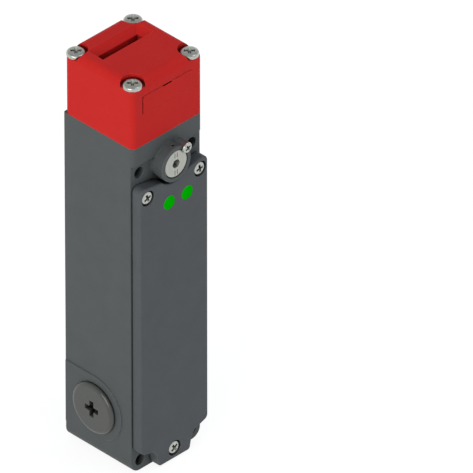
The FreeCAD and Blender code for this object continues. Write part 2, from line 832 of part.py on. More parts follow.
def mechanism_carrier():
    plate = block(-post_outer, post_outer, axis_y - carrier_depth / 2, axis_y + carrier_depth / 2,
                  body_height, body_height + carrier_plate)
    bushing = rod_z(0, axis_y, plunger_diameter + 2 * bushing_wall + 2 * running_gap,
                    body_height - bushing_length, body_height + carrier_plate)
    parts = [plate, bushing]
    for side in both_sides(1):
        parts.append(block(*sorted((side * post_inner, side * post_outer)), axis_y - post_depth / 2,
                           axis_y + post_depth / 2, body_height, rotor_z))
        cheek = sorted((side * cheek_inside / 2, side * (cheek_inside / 2 + cheek_thickness)))
        parts.append(block(*cheek, pivot_y - cheek_depth / 2, pivot_y + cheek_depth / 2,
                           pivot_z - cheek_foot, body_height + carrier_plate))
    bore = rod_z(0, axis_y, plunger_diameter + 2 * running_gap, body_height - bushing_length,
                 body_height + carrier_plate)
    saddle = rod_x(axis_y, rotor_z, shaft_diameter, -post_outer, post_outer)
    pin_way = rod_x(pivot_y, pivot_z, lever_pin_diameter, -cheek_inside, cheek_inside)
    return join(parts).cut(join([bore, saddle, pin_way]))


def head_plunger():
    radius = plunger_diameter / 2
    shank = rod_z(0, axis_y, plunger_diameter, collar_bottom, plunger_top - radius)
    dome = Part.makeSphere(radius, V(0, axis_y, plunger_top - radius))
    collar = rod_z(0, axis_y, collar_diameter, collar_bottom, collar_top)
    tail = rod_z(0, axis_y, plunger_tail, plunger_bottom, collar_bottom)
    return join([shank, dome, collar, tail])


def switch_rod():
    half = rod_width / 2
    strip = block(-half, half, rod_front_y, rod_back_y, slider_top, plunger_bottom)
    foot = block(-half, half, axis_y - foot_reach, rod_back_y, plunger_bottom - foot_sheet, plunger_bottom)
    tab = block(-half, half, rod_back_y - rod_tab_reach, rod_back_y, slider_top, slider_top + rod_sheet)
    return join([strip, foot, tab])


def lock_lever():
    half = lever_width / 2
    front = pivot_y - lever_plate / 2
    nose_low = collar_top + nose_gap
    nose_high = collar_bottom + plunger_travel - nose_gap
    nose_end = axis_y - plunger_diameter / 2 - small_gap
    nose = block(-half, half, front, nose_end, nose_low, nose_high)
    nose.rotate(V(0, pivot_y, pivot_z), V(1, 0, 0), lever_turn)
    nose = nose.common(block(-half, half, front, nose_end, pivot_z, nose_high + lever_width))
    arm = block(-half, half, front, front + lever_plate, pivot_z, nose_low)
    hub = rod_x(pivot_y, pivot_z, lever_hub, -half, half)
    ear = block(-half, half, pivot_y - ear_length, pivot_y,
                pivot_z - ear_thickness / 2, pivot_z + ear_thickness / 2)
    pieces = [arm, nose, hub, ear]
    inner = link_flat_width / 2 + small_gap
    outer = inner + tine_width
    for side in both_sides(1):
        reach = axis_y + link_pin_diameter
        pieces.append(block(*sorted((side * inner, side * outer)), pivot_y, reach,
                            pivot_z - tine_thickness / 2, pivot_z + tine_thickness / 2))
    pin_hole = rod_x(pivot_y, pivot_z, lever_pin_diameter + running_gap, -outer, outer)
    link_hole = rod_x(axis_y, pivot_z, link_pin_diameter, -outer, outer)
    return join(pieces).cut(join([pin_hole, link_hole]))


def lever_pin():
    end = cheek_inside / 2 + cheek_thickness
    return rod_x(pivot_y, pivot_z, lever_pin_diameter, -end, end)


def link_pin():
    end = link_flat_width / 2 + small_gap + tine_width
    return rod_x(axis_y, pivot_z, link_pin_diameter, -end, end)


def solenoid_frame():
    half = frame_width / 2
    outer = block(-half, half, frame_front_y, frame_back_y, solenoid_bottom, solenoid_top)
    window = block(-half + frame_sheet, half - frame_sheet, frame_front_y, frame_back_y,
                   solenoid_bottom + frame_sheet, solenoid_top - frame_sheet)
    pieces = [outer.cut(window)]
    holes = [rod_z(0, axis_y, armature_diameter + 2 * small_gap, solenoid_top - frame_sheet, solenoid_top),
             rod_z(0, axis_y, pole_rivet, solenoid_bottom, solenoid_bottom + frame_sheet)]
    for x in both_sides(frame_tab_x):
        x0, x1 = x - frame_tab_width / 2, x + frame_tab_width / 2
        for plate, tip in ((solenoid_bottom, -frame_tab_height), (solenoid_top, frame_tab_height)):
            low, high = sorted((plate, plate + tip))
            sheet = math.copysign(frame_sheet, -tip)
            arm = sorted((plate, plate + sheet))
            pieces.append(block(x0, x1, frame_back_y - 1, mount_y, *arm))
            pieces.append(block(x0, x1, mount_y - frame_sheet, mount_y, min(low, arm[0]), max(high, arm[1])))
        holes += [rod_y(x, z, m3_screw[2] + 2 * thread_gap, mount_y - frame_sheet, mount_y)
                  for z in frame_screw_rows]
    return join(pieces).cut(join(holes))


def solenoid_screws():
    seat = mount_y - frame_sheet
    screw = pan_screw(m3_screw, mount_screw_length)
    return Part.makeCompound([facing(screw, "front", x, seat, z)
                              for x in both_sides(frame_tab_x) for z in frame_screw_rows])


def coil_bobbin():
    low, high = solenoid_bottom + frame_sheet, solenoid_top - frame_sheet
    bore = armature_diameter + 2 * running_gap
    tube = rod_z(0, axis_y, bore + 2 * bobbin_wall, low, high)
    flanges = [rod_z(0, axis_y, bobbin_flange, low, low + bobbin_flange_thickness),
               rod_z(0, axis_y, bobbin_flange, high - bobbin_flange_thickness, high)]
    return join([tube] + flanges).cut(rod_z(0, axis_y, bore, low, high))


def coil_winding():
    low = solenoid_bottom + frame_sheet + bobbin_flange_thickness
    high = solenoid_top - frame_sheet - bobbin_flange_thickness
    inner = armature_diameter + 2 * running_gap + 2 * bobbin_wall
    return rod_z(0, axis_y, winding_diameter, low, high).cut(rod_z(0, axis_y, inner, low, high))


def pole_piece():
    low = solenoid_bottom + frame_sheet
    return join([rod_z(0, axis_y, armature_diameter, low, low + pole_height),
                 rod_z(0, axis_y, pole_rivet, solenoid_bottom, low)])


def armature():
    collar_z = solenoid_top + armature_shoulder
    half_flat = link_flat_width / 2
    slot_half = link_pin_diameter / 2 + link_slot_play
    slot_end = link_pin_diameter / 2 + link_slide
    flat_depth = slot_end + slot_half + link_flat_rim
    flat_bottom, flat_top = pivot_z - slot_half - link_flat_rim, pivot_z + slot_half + link_flat_rim
    core = rod_z(0, axis_y, armature_diameter, armature_bottom, collar_z)
    collar = rod_z(0, axis_y, armature_collar, collar_z, collar_z + armature_collar_thickness)
    neck = rod_z(0, axis_y, armature_neck, collar_z, flat_bottom + link_flat_rim / 2)
    flat = block(-half_flat, half_flat, axis_y - flat_depth, axis_y + flat_depth, flat_bottom, flat_top)
    slot = join([block(-half_flat, half_flat, axis_y - slot_end, axis_y + slot_end,
                       pivot_z - slot_half, pivot_z + slot_half),
                 rod_x(axis_y - slot_end, pivot_z, 2 * slot_half, -half_flat, half_flat),
                 rod_x(axis_y + slot_end, pivot_z, 2 * slot_half, -half_flat, half_flat)])
    return join([core, collar, neck, flat]).cut(slot)


def armature_spring():
    return coil_spring(0, axis_y, solenoid_top, solenoid_top + armature_shoulder, armature_spring_mean,
                       armature_spring_wire, armature_spring_turns)


def strip_level(level):
    """Underside of a fixed contact strip above a bridge that rests at the given height."""
    return level + bridge_sheet + bridge_rivet + plunger_travel + contact_gap_left + fixed_rivet


def contact_block():
    half = block_width / 2
    body = block(-half, half, terminal_y, mount_y, block_bottom, block_top)
    channel = block(-slider_width / 2 - slider_gap, slider_width / 2 + slider_gap,
                    axis_y - slider_depth / 2 - slider_gap, axis_y + slider_depth / 2 + slider_gap,
                    block_bottom + block_floor, block_top)
    taken = [channel]
    room = bridge_length / 2 + bridge_room
    for level in contact_heights:
        strip = strip_level(level)
        taken.append(block(-room, room, axis_y - bridge_width / 2 - bridge_room,
                           axis_y + bridge_width / 2 + bridge_room, level - bridge_room, strip + strip_sheet))
        for side in both_sides(1):
            x0, x1 = sorted((side * (strip_inner - strip_room), side * (strip_outer + strip_room)))
            taken.append(block(x0, x1, terminal_y, -strip_inner_depth, strip, strip + strip_sheet))
            screw_x = side * (terminal_tab_inner + strip_outer) / 2
            taken.append(rod_y(screw_x, strip + strip_sheet - terminal_screw_drop, m3_screw[2],
                               terminal_y, terminal_y + terminal_screw_length))
    for x in both_sides(block_screw_x):
        taken.append(rod_y(x, block_screw_height, m3_screw[2] + 2 * thread_gap, terminal_y, mount_y))
    return body.cut(join(taken))


def block_screws():
    screw = pan_screw(m3_screw, mount_y - terminal_y + mount_screw_length - frame_sheet)
    return Part.makeCompound([facing(screw, "front", x, terminal_y, block_screw_height)
                              for x in both_sides(block_screw_x)])


def contact_slider():
    half_x, half_y = slider_width / 2, slider_depth / 2
    slider = block(-half_x, half_x, axis_y - half_y, axis_y + half_y, slider_bottom, slider_top)
    taken = [rod_z(0, axis_y, return_spring_bore, slider_bottom, slider_bottom + return_spring_room)]
    for level in contact_heights:
        taken.append(block(-half_x, half_x, axis_y - bridge_width / 2 - running_gap / 2,
                           axis_y + bridge_width / 2 + running_gap / 2, level, level + bridge_window))
    return slider.cut(join(taken))


def bridge_contacts():
    bridges = []
    for level in contact_heights:
        strip = block(-bridge_length / 2, bridge_length / 2, axis_y - bridge_width / 2,
                      axis_y + bridge_width / 2, level, level + bridge_sheet)
        top = level + bridge_sheet + bridge_rivet
        rivets = [rod_z(x, axis_y, rivet_diameter, level, top) for x in both_sides(contact_x)]
        bridges.append(join([strip] + rivets))
    return Part.makeCompound(bridges)


def fixed_contacts():
    strips = []
    for level in contact_heights:
        low = strip_level(level)
        for side in both_sides(1):
            x0, x1 = sorted((side * strip_inner, side * strip_outer))
            plate = block(x0, x1, terminal_y - strip_sheet, -strip_inner_depth - strip_room,
                          low, low + strip_sheet)
            tab_x = sorted((side * terminal_tab_inner, side * strip_outer))
            tab = block(*tab_x, terminal_y - strip_sheet, terminal_y, low + strip_sheet - terminal_tab_height,
                        low + strip_sheet)
            rivet = rod_z(side * contact_x, axis_y, rivet_diameter, low - fixed_rivet, low + strip_sheet / 2)
            screw_x = side * (terminal_tab_inner + strip_outer) / 2
            hole = rod_y(screw_x, low + strip_sheet - terminal_screw_drop, m3_screw[2] + thread_gap,
                         terminal_y - strip_sheet, terminal_y)
            strips.append(join([plate, tab, rivet]).cut(hole))
    return Part.makeCompound(strips)


def terminal_screws():
    screw = pan_screw(clamp_screw, terminal_screw_length)
    seat = terminal_y - strip_sheet
    screws = []
    for level in contact_heights:
        height = strip_level(level) + strip_sheet - terminal_screw_drop
        for side in both_sides(1):
            screws.append(facing(screw, "front", side * (terminal_tab_inner + strip_outer) / 2, seat, height))
    return Part.makeCompound(screws)


def contact_return_spring():
    return coil_spring(0, axis_y, block_bottom + block_floor, slider_bottom + return_spring_room,
                       return_spring_mean, return_spring_wire, return_spring_turns)


def led_board():
    back_y = cover_floor_y + board_post_drop
    board = block(board_left, board_right, back_y, back_y + board_sheet, board_bottom, board_top)
    holes = [rod_y(x, window_height, m2_screw[2] + thread_gap, back_y, back_y + board_sheet)
             for x in board_post_x]
    return board.cut(join(holes))


def board_leds():
    face = cover_floor_y + board_post_drop
    lamps = []
    for x in window_x:
        body = rod_y(x, window_height, led_diameter, face - led_height + led_diameter / 4, face)
        lamps.append(rounded(rod_y(x, window_height, led_diameter, face - led_height, face), led_diameter / 4,
                             [in_plane_y(face - led_height)]).fuse(body))
    return Part.makeCompound(lamps)


def board_screws():
    seat = cover_floor_y + board_post_drop + board_sheet
    screw = pan_screw(m2_screw, board_screw_length)
    return Part.makeCompound([facing(screw, "back", x, seat, window_height) for x in board_post_x])


def earth_screw():
    return facing(pan_screw(m4_screw, earth_screw_length - thread_gap), "front", 0, mount_y, earth_height)


save("housing_body", housing_body())
save("housing_foot", housing_foot())
save("front_cover", front_cover())
save("cover_gasket", cover_gasket())
save("cover_screws", cover_screws())
save("actuator_head", actuator_head())
save("head_gasket", head_gasket())
save("head_screws", head_screws())
save("front_slot_plug", front_slot_plug())
save("conduit_plug_left", conduit_plug(-1))
save("conduit_plug_right", conduit_plug(1))
save("plug_seals", plug_seals())
save("led_window_left", led_window(window_x[0]))
save("led_window_right", led_window(window_x[1]))
save("release_dial", release_dial())
save("release_pin", release_pin())
save("release_clip", release_clip())
save("release_seal", release_seal())
save("release_lock_screw", release_lock_screw())
save("key_rotor", key_rotor())
save("rotor_shaft", rotor_shaft())
save("mechanism_carrier", mechanism_carrier())
save("head_plunger", head_plunger())
save("switch_rod", switch_rod())
save("lock_lever", lock_lever())
save("lever_pin", lever_pin())
save("link_pin", link_pin())
save("solenoid_frame", solenoid_frame())
save("solenoid_screws", solenoid_screws())
save("coil_bobbin", coil_bobbin())
save("coil_winding", coil_winding())
save("pole_piece", pole_piece())
save("armature", armature())
save("armature_spring", armature_spring())
save("contact_block", contact_block())
save("block_screws", block_screws())
save("contact_slider", contact_slider())
save("bridge_contacts", bridge_contacts())
save("fixed_contacts", fixed_contacts())
save("terminal_screws", terminal_screws())
save("contact_return_spring", contact_return_spring())
save("led_board", led_board())
save("board_leds", board_leds())
save("board_screws", board_screws())
save("earth_screw", earth_screw())
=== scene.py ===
# Guard-locking solenoid switch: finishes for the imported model, and finer screws, plugs, dial, lamps
# and springs. Sizes in the dictionaries are millimetres unless a note says otherwise.
import json
import math

import bmesh
import bpy
from mathutils import Matrix, Vector


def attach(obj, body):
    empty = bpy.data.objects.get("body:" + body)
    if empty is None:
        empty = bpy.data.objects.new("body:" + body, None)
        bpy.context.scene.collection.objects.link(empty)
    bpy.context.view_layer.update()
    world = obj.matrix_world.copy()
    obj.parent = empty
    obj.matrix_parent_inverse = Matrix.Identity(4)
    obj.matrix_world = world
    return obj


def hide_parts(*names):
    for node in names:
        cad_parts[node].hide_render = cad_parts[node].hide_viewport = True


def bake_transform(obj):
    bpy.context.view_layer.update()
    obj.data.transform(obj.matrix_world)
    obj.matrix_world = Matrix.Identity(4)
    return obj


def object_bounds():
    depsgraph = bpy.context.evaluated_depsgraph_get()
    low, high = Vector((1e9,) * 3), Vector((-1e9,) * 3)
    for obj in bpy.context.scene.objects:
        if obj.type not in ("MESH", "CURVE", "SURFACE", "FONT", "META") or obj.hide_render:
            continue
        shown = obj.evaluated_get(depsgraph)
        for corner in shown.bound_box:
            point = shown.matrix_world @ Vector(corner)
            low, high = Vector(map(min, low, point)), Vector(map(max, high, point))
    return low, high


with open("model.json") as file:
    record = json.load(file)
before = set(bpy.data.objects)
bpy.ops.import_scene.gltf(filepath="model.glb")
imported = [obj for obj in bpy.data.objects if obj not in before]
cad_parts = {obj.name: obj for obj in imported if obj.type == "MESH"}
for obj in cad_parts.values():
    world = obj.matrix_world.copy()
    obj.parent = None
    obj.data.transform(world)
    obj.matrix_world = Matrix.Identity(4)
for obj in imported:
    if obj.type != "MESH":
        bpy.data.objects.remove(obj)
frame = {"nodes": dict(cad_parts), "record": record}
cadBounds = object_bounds()
nodes = frame["nodes"]
mm = 0.001
print("frame loaded with", len(nodes), "nodes")


cameraLook = {
    "lens": 1500.0, "sensor": 36.0,
    "frameWidth": 193.6,  # what the photograph spans across at the aim
    "aim": (29.83, -49.83, 23.4),
    "towardsCamera": (-1.0, -1.0, 1.0),  # a true isometric view
    "clip": (0.1, 60.0),  # metres
}

studio = {  # places and spans in metres
    "worldLight": 0.50, "worldTint": "F6FAFF",
    "keyFrom": (-2.6, -0.75, 0.75), "keySize": 1.6, "keyPower": 29.5, "keyTint": "FFFDF8",
    "fillFrom": (0.9, -1.3, 2.2), "fillSize": 1.0, "fillPower": 8.3, "fillTint": "E4EEFF",
    "lampAim": (0, -0.02, 0.02),
    "ceilingShade": 0.5,  # how bright metal finds the studio's ceiling, against a white of 1
    "ceilingRise": (0.25, 0.6),  # that shade comes in between these two heights of the sky
    "floorColour": "EDEDED", "floorSpan": 6.0, "floorGlow": 0.87, "floorShade": 0.26,
}


def hexColour(text):
    parts = [int(text[i:i + 2], 16) / 255 for i in (0, 2, 4)]
    linear = [c / 12.92 if c <= 0.04045 else ((c + 0.055) / 1.055) ** 2.4 for c in parts]
    return (*linear, 1.0)


def addNode(tree, kind, settings=None, links=None):
    node = tree.nodes.new("ShaderNode" + kind)
    for key, value in (settings or {}).items():
        if isinstance(key, int) or key in node.inputs:
            node.inputs[key].default_value = value
        else:
            setattr(node, key, value)
    for key, source in (links or {}).items():
        tree.links.new(source.outputs[0] if hasattr(source, "outputs") else source, node.inputs[key])
    return node


def emptyTree(block):
    block.use_nodes = True
    block.node_tree.nodes.clear()
    return block.node_tree


def aimAt(thing, target):
    thing.rotation_mode = "QUATERNION"
    thing.rotation_quaternion = (Vector(target) - thing.location).to_track_quat("-Z", "Y")


def makeCamera(look):
    data = bpy.data.cameras.new("viewCamera")
    data.lens, data.sensor_width = look["lens"], look["sensor"]
    data.clip_start, data.clip_end = look["clip"]
    camera = bpy.data.objects.new("viewCamera", data)
    bpy.context.scene.collection.objects.link(camera)
    target = Vector(look["aim"]) * mm
    distance = look["frameWidth"] * mm * look["lens"] / look["sensor"]
    camera.location = target + Vector(look["towardsCamera"]).normalized() * distance
    aimAt(camera, target)
    bpy.context.scene.camera = camera


def makeSoftbox(look, lamp):
    data = bpy.data.lights.new(lamp + "Softbox", "AREA")
    data.shape, data.size, data.energy = "SQUARE", look[lamp + "Size"], look[lamp + "Power"]
    data.color = hexColour(look[lamp + "Tint"])[:3]
    softbox = bpy.data.objects.new(lamp + "Softbox", data)
    bpy.context.scene.collection.objects.link(softbox)
    softbox.location = look[lamp + "From"]
    aimAt(softbox, look["lampAim"])


def seenOrMirrored(tree):
    # camera, glossy and transmission rays see the white backdrop, and the rest the plain level
    path = addNode(tree, "LightPath").outputs
    either = addNode(tree, "Math", {"operation": "MAXIMUM"},
                     {0: path["Is Camera Ray"], 1: path["Is Glossy Ray"]})
    return addNode(tree, "Math", {"operation": "MAXIMUM"}, {0: either, 1: path["Is Transmission Ray"]})


def makeWorld(look):
    world = bpy.data.worlds.new("paleStudio")
    bpy.context.scene.world = world
    tree = emptyTree(world)
    plain = addNode(tree, "Background", {"Color": hexColour(look["worldTint"]),
                                         "Strength": look["worldLight"]})
    sky = addNode(tree, "TexCoord").outputs["Generated"]
    height = addNode(tree, "SeparateXYZ", {}, {0: sky}).outputs["Z"]
    start, end = look["ceilingRise"]
    ceiling = addNode(tree, "MapRange", {"From Min": start, "From Max": end, "To Min": 1.0,
                                         "To Max": look["ceilingShade"]}, {"Value": height})
    direct = addNode(tree, "LightPath").outputs["Is Camera Ray"]
    level = addNode(tree, "Math", {"operation": "MAXIMUM"}, {0: ceiling, 1: direct})
    white = addNode(tree, "Background", {"Color": (1, 1, 1, 1)}, {"Strength": level})
    mixed = addNode(tree, "MixShader", {}, {0: seenOrMirrored(tree), 1: plain, 2: white})
    addNode(tree, "OutputWorld", {}, {"Surface": mixed})


def makeFloor(look, height):
    mesh = bmesh.new()
    bmesh.ops.create_grid(mesh, x_segments=1, y_segments=1, size=look["floorSpan"] / 2)
    bmesh.ops.translate(mesh, vec=(0, 0, height), verts=mesh.verts)
    data = bpy.data.meshes.new("floor")
    mesh.to_mesh(data)
    mesh.free()
    floor = bpy.data.objects.new("floor", data)
    bpy.context.scene.collection.objects.link(floor)
    # backdrop paper: plain pale to the light, white to the camera, and still grey enough for a shadow
    paper = bpy.data.materials.new("paleBackdropPaper")
    tree = emptyTree(paper)
    bounce = addNode(tree, "BsdfDiffuse", {"Color": hexColour(look["floorColour"])})
    shade = addNode(tree, "BsdfDiffuse", {"Color": (look["floorShade"],) * 3 + (1,)})
    glow = addNode(tree, "Emission", {"Strength": look["floorGlow"]})
    seen = addNode(tree, "AddShader", {}, {0: shade, 1: glow})
    mixed = addNode(tree, "MixShader", {}, {0: seenOrMirrored(tree), 1: bounce, 2: seen})
    addNode(tree, "OutputMaterial", {}, {"Surface": mixed})
    data.materials.append(paper)


makeCamera(cameraLook)
makeSoftbox(studio, "key")
makeSoftbox(studio, "fill")
makeWorld(studio)
makeFloor(studio, cadBounds[0][2])
bpy.context.scene.view_settings.view_transform = "Standard"
print("camera, two softboxes, world and floor are in place")


def perMetre(size):
    return 1000.0 / size  # noise scale whose spots are that many millimetres wide


def bandScale(pitch):
    return perMetre(pitch) * math.tau / 20  # a wave texture runs through 20 radians in one unit


raySamples = {"edge": 4, "crevice": 8}  # more of them give smoother masks and take longer


def edgeMask(tree, look):
    # how far a rounded-over normal leans from the flat one, so 1 along edges and 0 on faces
    full, none = look["edgeLean"]
    soft = addNode(tree, "Bevel", {"samples": raySamples["edge"], "Radius": look["edgeRadius"] * mm})
    flat = addNode(tree, "NewGeometry").outputs["Normal"]
    lean = addNode(tree, "VectorMath", {"operation": "DOT_PRODUCT"}, {0: soft, 1: flat}).outputs["Value"]
    mask = addNode(tree, "MapRange", {"From Min": none, "From Max": full}, {"Value": lean})
    return soft, mask


def withoutSplit(tree, place, look, softNormal, edges):
    # keeps the flat normal, and no paler edge of wear and painted highlight, at the height where two pieces
    # of one casting meet
    height = addNode(tree, "SeparateXYZ", {}, {0: place}).outputs["Z"]
    near = addNode(tree, "Math", {"operation": "COMPARE", 1: look["splitHeight"] * mm,
                                  2: look["splitReach"] * mm}, {0: height})
    away = addNode(tree, "Math", {"operation": "SUBTRACT", 0: 1.0}, {1: near})
    edges = addNode(tree, "Math", {"operation": "MULTIPLY"}, {0: edges, 1: away})
    flat = addNode(tree, "NewGeometry").outputs["Normal"]
    normal = addNode(tree, "Mix", {"data_type": "VECTOR"}, {0: near, 4: softNormal, 5: flat})
    return normal.outputs[1], edges


def paintCreviceShade(tree, look, colour):
    # painted shade: the colour goes dark inside holes, slots and recesses that are narrower than the reach,
    # as if shade fell there
    openness = addNode(tree, "AmbientOcclusion", {"samples": raySamples["crevice"],
                                                  "Distance": look["creviceReach"] * mm})
    shade = addNode(tree, "MapRange", {"From Min": look["creviceStart"], "From Max": look["creviceEnd"],
                                       "To Min": look["creviceShade"]}, {"Value": openness.outputs["AO"]})
    return addNode(tree, "VectorMath", {"operation": "SCALE"}, {0: colour, "Scale": shade})


def grainedFinish(name, look):
    # shared by the coats, castings and mouldings: mottled colour, fine grain, paler edges that are partly
    # wear and partly a painted highlight, and painted shade in crevices
    material = bpy.data.materials.new(name)
    tree = emptyTree(material)
    place = addNode(tree, "TexCoord").outputs["Object"]
    mottle = addNode(tree, "TexNoise", {"Scale": perMetre(look["mottleSize"]),
                                        "Detail": look["mottleDetail"]}, {"Vector": place})
    grain = addNode(tree, "TexNoise", {"Scale": perMetre(look["grainSize"]), "Detail": look["grainDetail"],
                                       "Roughness": look["grainFade"]}, {"Vector": place})
    fine = addNode(tree, "Math", {"operation": "MULTIPLY", 1: 1 - look["mottleShare"]}, {0: grain})
    speckle = addNode(tree, "Math", {"operation": "MULTIPLY_ADD", 1: look["mottleShare"]},
                      {0: mottle, 2: fine})
    darkEnd, lightEnd = look["speckleRange"]
    spread = addNode(tree, "MapRange", {"From Min": darkEnd, "From Max": lightEnd}, {"Value": speckle})
    colour = addNode(tree, "Mix", {"data_type": "RGBA", 6: hexColour(look["dark"]),
                                   7: hexColour(look["light"])}, {0: spread}).outputs[2]
    softNormal, edges = edgeMask(tree, look)
    if "splitHeight" in look:
        softNormal, edges = withoutSplit(tree, place, look, softNormal, edges)
    # paler edges: partly wear, partly a painted highlight
    wearAndHighlight = addNode(tree, "Math", {"operation": "MULTIPLY", 1: look["edgeShare"]}, {0: edges})
    colour = addNode(tree, "Mix", {"data_type": "RGBA", 7: hexColour(look["edge"])},
                     {0: wearAndHighlight, 6: colour}).outputs[2]
    colour = paintCreviceShade(tree, look, colour)
    smoothEnd, roughEnd = look["grainRange"]
    rough = addNode(tree, "MapRange", {"From Min": smoothEnd, "From Max": roughEnd,
                                       "To Min": look["roughLow"], "To Max": look["roughHigh"]},
                    {"Value": grain})
    rubbed = addNode(tree, "MapRange", {"To Min": 1.0, "To Max": look["edgeGloss"]}, {"Value": edges})
    rough = addNode(tree, "Math", {"operation": "MULTIPLY"}, {0: rough, 1: rubbed})
    bump = addNode(tree, "Bump", {"Strength": look["grainStrength"], "Distance": look["grainHeight"] * mm},
                   {"Height": grain, "Normal": softNormal})
    shader = addNode(tree, "BsdfPrincipled", {"Metallic": look["metallic"],
                                              "Specular IOR Level": look["specular"]},
                     {"Base Color": colour, "Roughness": rough, "Normal": bump})
    addNode(tree, "OutputMaterial", {}, {"Surface": shader})
    return material


# what all grained finishes start from, with a grain drawn at 0.4 to 1.0, because a real one of about
# 0.15 would not show
plainSkin = {
    "metallic": 0.0, "specular": 0.5,
    "mottleShare": 0.35,  # of the speckle, and the grain makes up the rest
    "speckleRange": (0.36, 0.64),  # noise levels that give the dark and the light colour
    "grainRange": (0.25, 0.75),  # noise levels that give the low and the high roughness
    "mottleDetail": 3.0, "grainDetail": 2.0, "grainFade": 0.6,
    "edgeLean": (0.86, 0.995),  # cosines at which an edge counts as full and as none
    "creviceStart": 0.2,  # openness at which the painted crevice shade is at its darkest
}

# powder coat on a die casting: matte grey with a fine grain, paler edges that are partly wear and partly a
# painted highlight, and painted shade in holes
greyCoat = dict(
    plainSkin, dark="4E5252", light="565A5A", edge="7B8080", edgeShare=0.35, edgeRadius=0.5, edgeGloss=0.55,
    mottleSize=9.0, grainSize=1.0, grainHeight=0.05, grainStrength=0.5,
    roughLow=0.5, roughHigh=0.7, specular=0.35, creviceReach=6.0, creviceEnd=0.45, creviceShade=0.12,
    splitHeight=-68.2, splitReach=1.0,  # where two pieces of one casting meet, no edge is drawn
)
# the same coat on the cover, a shade bluer and with more of the paler edge, partly wear and partly a painted
# highlight
coverCoat = dict(greyCoat, dark="4D5153", light="55595B", edge="868C90", edgeShare=0.45)
# satin powder coat: an even strong red with a faint shine, pale edges that are partly wear and partly a
# painted highlight, and painted shade in its slot and holes
redCoat = dict(
    plainSkin, dark="D32926", light="DB2D28", edge="EC5A50", edgeShare=0.5, edgeRadius=0.35, edgeGloss=0.6,
    mottleSize=12.0, grainSize=0.6, grainHeight=0.03, grainStrength=0.35,
    roughLow=0.42, roughHigh=0.58, specular=0.07, creviceReach=6.0, creviceEnd=0.5, creviceShade=0.08,
)
# moulded nylon: the coat's red with a flatter grain, and painted shade only in its narrow seam
redNylon = dict(redCoat, grainHeight=0.02, creviceReach=0.8, creviceShade=0.05)
# moulded nylon: smooth enough to mirror the pale floor a little, with no paler edges, and painted shade deep
# in its cross
greyNylon = dict(
    greyCoat, dark="444643", light="4A4C48", edge="6C6E6A", edgeShare=0.0, grainSize=0.6, grainHeight=0.01,
    roughLow=0.15, roughHigh=0.22, specular=0.5, creviceReach=5.0, creviceEnd=0.48, creviceShade=0.03,
)
# moulded rubber: near black and dull, with slightly paler edges of wear and painted highlight, and faint
# painted shade in crevices
nitrileRubber = dict(
    plainSkin, dark="232526", light="2D2F30", edge="3A3C3E", edgeShare=0.4, edgeRadius=0.2, edgeGloss=1.0,
    mottleSize=3.0, grainSize=0.5, grainHeight=0.03, grainStrength=0.4,
    roughLow=0.65, roughHigh=0.85, specular=0.3, creviceReach=1.0, creviceEnd=0.7, creviceShade=0.9,
)
# zinc-plated steel: pale, slightly mottled metal with bright edges that are partly wear and partly a painted
# highlight, and painted shade in recesses
zincPlate = dict(
    plainSkin, dark="A9ABA5", light="C3C5BE", edge="E6E8E2", edgeShare=0.5, edgeRadius=0.15, edgeGloss=0.8,
    mottleSize=1.6, grainSize=0.4, grainHeight=0.01, grainStrength=0.3,
    roughLow=0.22, roughHigh=0.38, metallic=1.0, creviceReach=0.9, creviceEnd=0.85, creviceShade=0.04,
)
# cold-rolled sheet: a plainer, darker grey with broad soft patches
rolledSteel = dict(zincPlate, dark="8E9297", light="A3A7AB", edge="C6CACD", mottleSize=5.0,
                   roughLow=0.32, roughHigh=0.5)
# bare zinc casting: duller than plate, with a coarser skin
castZinc = dict(zincPlate, dark="84878A", light="979A9C", edge="BABDBE", mottleSize=2.5, grainSize=0.6,
                grainHeight=0.03, roughLow=0.4, roughHigh=0.6)
# stamped brass strip: warm yellow metal, brighter than the castings
stripBrass = dict(zincPlate, dark="B08D3C", light="C7A452", edge="E5CD84", roughLow=0.25, roughHigh=0.42)
# moulded black nylon: black with a soft shine
blackNylon = dict(nitrileRubber, dark="1B1C1D", light="222324", edge="3A3C3D", roughLow=0.35,
                  roughHigh=0.5, specular=0.5)
# moulded acetal: creamy white and waxy
acetalNatural = dict(nitrileRubber, dark="D8D5CB", light="E2DFD6", edge="EFEDE6", roughLow=0.35,
                     roughHigh=0.5, specular=0.5)
# unfilled nylon: a yellower, duller white
bobbinNylon = dict(acetalNatural, dark="C9C3AE", light="D5CFBC", edge="E4DFD0")
# pressed thermoset: dark brown, with the filler showing as a coarser grain
thermosetBlock = dict(nitrileRubber, dark="2E2A27", light="393430", edge="544E49", roughLow=0.45,
                      roughHigh=0.6, grainSize=0.8)

# enamelled copper winding: orange-brown metal in close bands, where the turns lie side by side, with painted
# shade in the dark bands between the turns
wireLook = {
    "wire": "B4623A", "shadeBetweenTurns": "5A2814", "metallic": 0.75, "roughness": 0.32,
    "pitch": 4.398,  # wire of 0.2, drawn far coarser or it would not show
    "ridge": 0.175, "ridgeStrength": 0.8, "sway": 0.6, "swaySize": 0.126,
}


def enamelledWire(name, look):
    material = bpy.data.materials.new(name)
    tree = emptyTree(material)
    place = addNode(tree, "TexCoord").outputs["Object"]
    scale = bandScale(look["pitch"])
    turns = addNode(tree, "TexWave", {"wave_type": "BANDS", "bands_direction": "Z", "wave_profile": "SIN",
                                      "Scale": scale, "Distortion": look["sway"],
                                      "Detail Scale": perMetre(look["swaySize"]) / scale}, {"Vector": place})
    height = turns.outputs["Fac"]
    colour = addNode(tree, "Mix", {"data_type": "RGBA", 6: hexColour(look["shadeBetweenTurns"]),
                                   7: hexColour(look["wire"])}, {0: height}).outputs[2]
    bump = addNode(tree, "Bump", {"Strength": look["ridgeStrength"], "Distance": look["ridge"] * mm},
                   {"Height": height})
    shader = addNode(tree, "BsdfPrincipled", {"Metallic": look["metallic"], "Roughness": look["roughness"]},
                     {"Base Color": colour, "Normal": bump})
    addNode(tree, "OutputMaterial", {}, {"Surface": shader})
    return material
